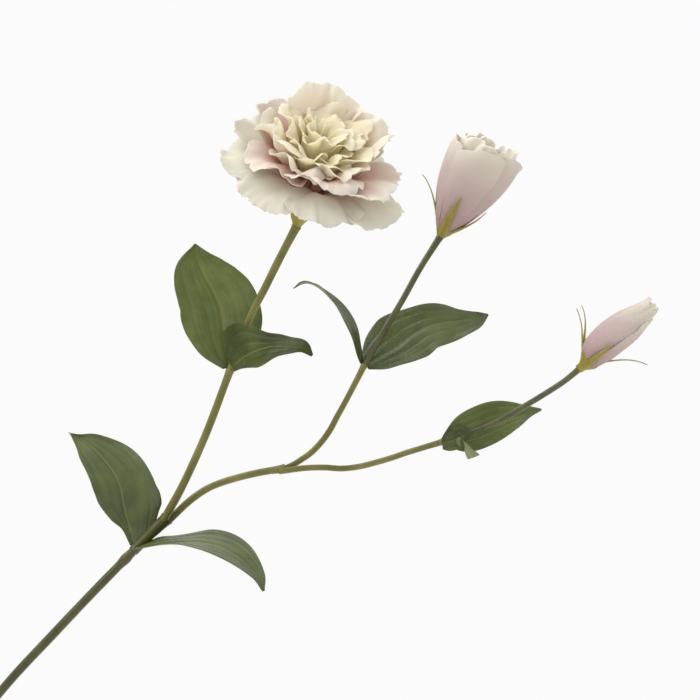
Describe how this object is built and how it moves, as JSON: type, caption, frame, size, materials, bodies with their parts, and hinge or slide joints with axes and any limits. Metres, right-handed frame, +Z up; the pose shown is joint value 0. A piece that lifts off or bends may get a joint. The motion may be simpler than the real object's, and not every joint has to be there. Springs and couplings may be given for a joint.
{
  "type": "lisianthus spray in a bud vase",
  "caption": "Branching lisianthus spray with a full ruffled bloom, a half-open flower, a bud and paired leaves, leaning out of a narrow-necked stoneware bud vase.",
  "frame": {"origin": "centre of the vase's flat foot, on the surface it stands on", "axes": "+Z up; the spray leans towards +X and its front faces -Y"},
  "size_m": [0.4148, 0.1087, 0.512],
  "materials": {
    "glazed_stoneware": "satin cream glaze",
    "stem_sleeve": "moulded olive-green plastic sleeve with a soft shine",
    "leaf_fabric": "pressed grey-green leaf cloth with a satin sheen and parallel veins",
    "calyx_moulding": "moulded yellow-green plastic",
    "cream_petal_fabric": "matte dyed petal cloth, cream",
    "blush_petal_fabric": "matte dyed petal cloth, cream fading to dusty pink at the base",
    "heart_petal_fabric": "matte dyed petal cloth, cream with a yellow-green heart"
  },
  "bodies": {
    "root": {"bud_vase": "glazed_stoneware", "main_stem": "stem_sleeve", "fork_sleeve": "stem_sleeve", "open_flower_branch": "stem_sleeve", "open_flower_stalk": "stem_sleeve", "side_branch": "stem_sleeve", "half_open_branch": "stem_sleeve", "half_open_stalk": "stem_sleeve", "bud_branch": "stem_sleeve", "bud_stalk": "stem_sleeve", "lower_left_leaf": "leaf_fabric", "lower_right_leaf": "leaf_fabric", "upper_left_leaf": "leaf_fabric", "upper_right_leaf": "leaf_fabric", "middle_left_leaf": "leaf_fabric", "middle_right_leaf": "leaf_fabric", "bud_branch_back_leaf": "leaf_fabric", "bud_branch_front_leaf": "leaf_fabric", "open_flower_calyx": "calyx_moulding", "half_open_flower_calyx": "calyx_moulding", "bud_calyx": "calyx_moulding", "open_outer_petal_1": "cream_petal_fabric", "open_outer_petal_2": "cream_petal_fabric", "open_outer_petal_3": "cream_petal_fabric", "open_outer_petal_4": "cream_petal_fabric", "open_outer_petal_5": "cream_petal_fabric", "open_outer_petal_6": "cream_petal_fabric", "open_second_petal_1": "blush_petal_fabric", "open_second_petal_2": "blush_petal_fabric", "open_second_petal_3": "blush_petal_fabric", "open_second_petal_4": "blush_petal_fabric", "open_second_petal_5": "blush_petal_fabric", "open_third_petal_1": "blush_petal_fabric", "open_third_petal_2": "blush_petal_fabric", "open_third_petal_3": "blush_petal_fabric", "open_third_petal_4": "blush_petal_fabric", "open_third_petal_5": "blush_petal_fabric", "open_inner_petal_1": "heart_petal_fabric", "open_inner_petal_2": "heart_petal_fabric", "open_inner_petal_3": "heart_petal_fabric", "open_inner_petal_4": "heart_petal_fabric", "open_inner_petal_5": "heart_petal_fabric", "open_heart_petal_1": "heart_petal_fabric", "open_heart_petal_2": "heart_petal_fabric", "open_heart_petal_3": "heart_petal_fabric", "open_heart_petal_4": "heart_petal_fabric", "half_open_outer_petal_1": "blush_petal_fabric", "half_open_outer_petal_2": "blush_petal_fabric", "half_open_outer_petal_3": "blush_petal_fabric", "half_open_outer_petal_4": "blush_petal_fabric", "half_open_outer_petal_5": "blush_petal_fabric", "half_open_inner_petal_1": "cream_petal_fabric", "half_open_inner_petal_2": "cream_petal_fabric", "half_open_inner_petal_3": "cream_petal_fabric", "half_open_inner_petal_4": "cream_petal_fabric", "bud_petal_1": "blush_petal_fabric", "bud_petal_2": "blush_petal_fabric", "bud_petal_3": "blush_petal_fabric", "bud_petal_4": "blush_petal_fabric"}
  },
  "joints": []
}
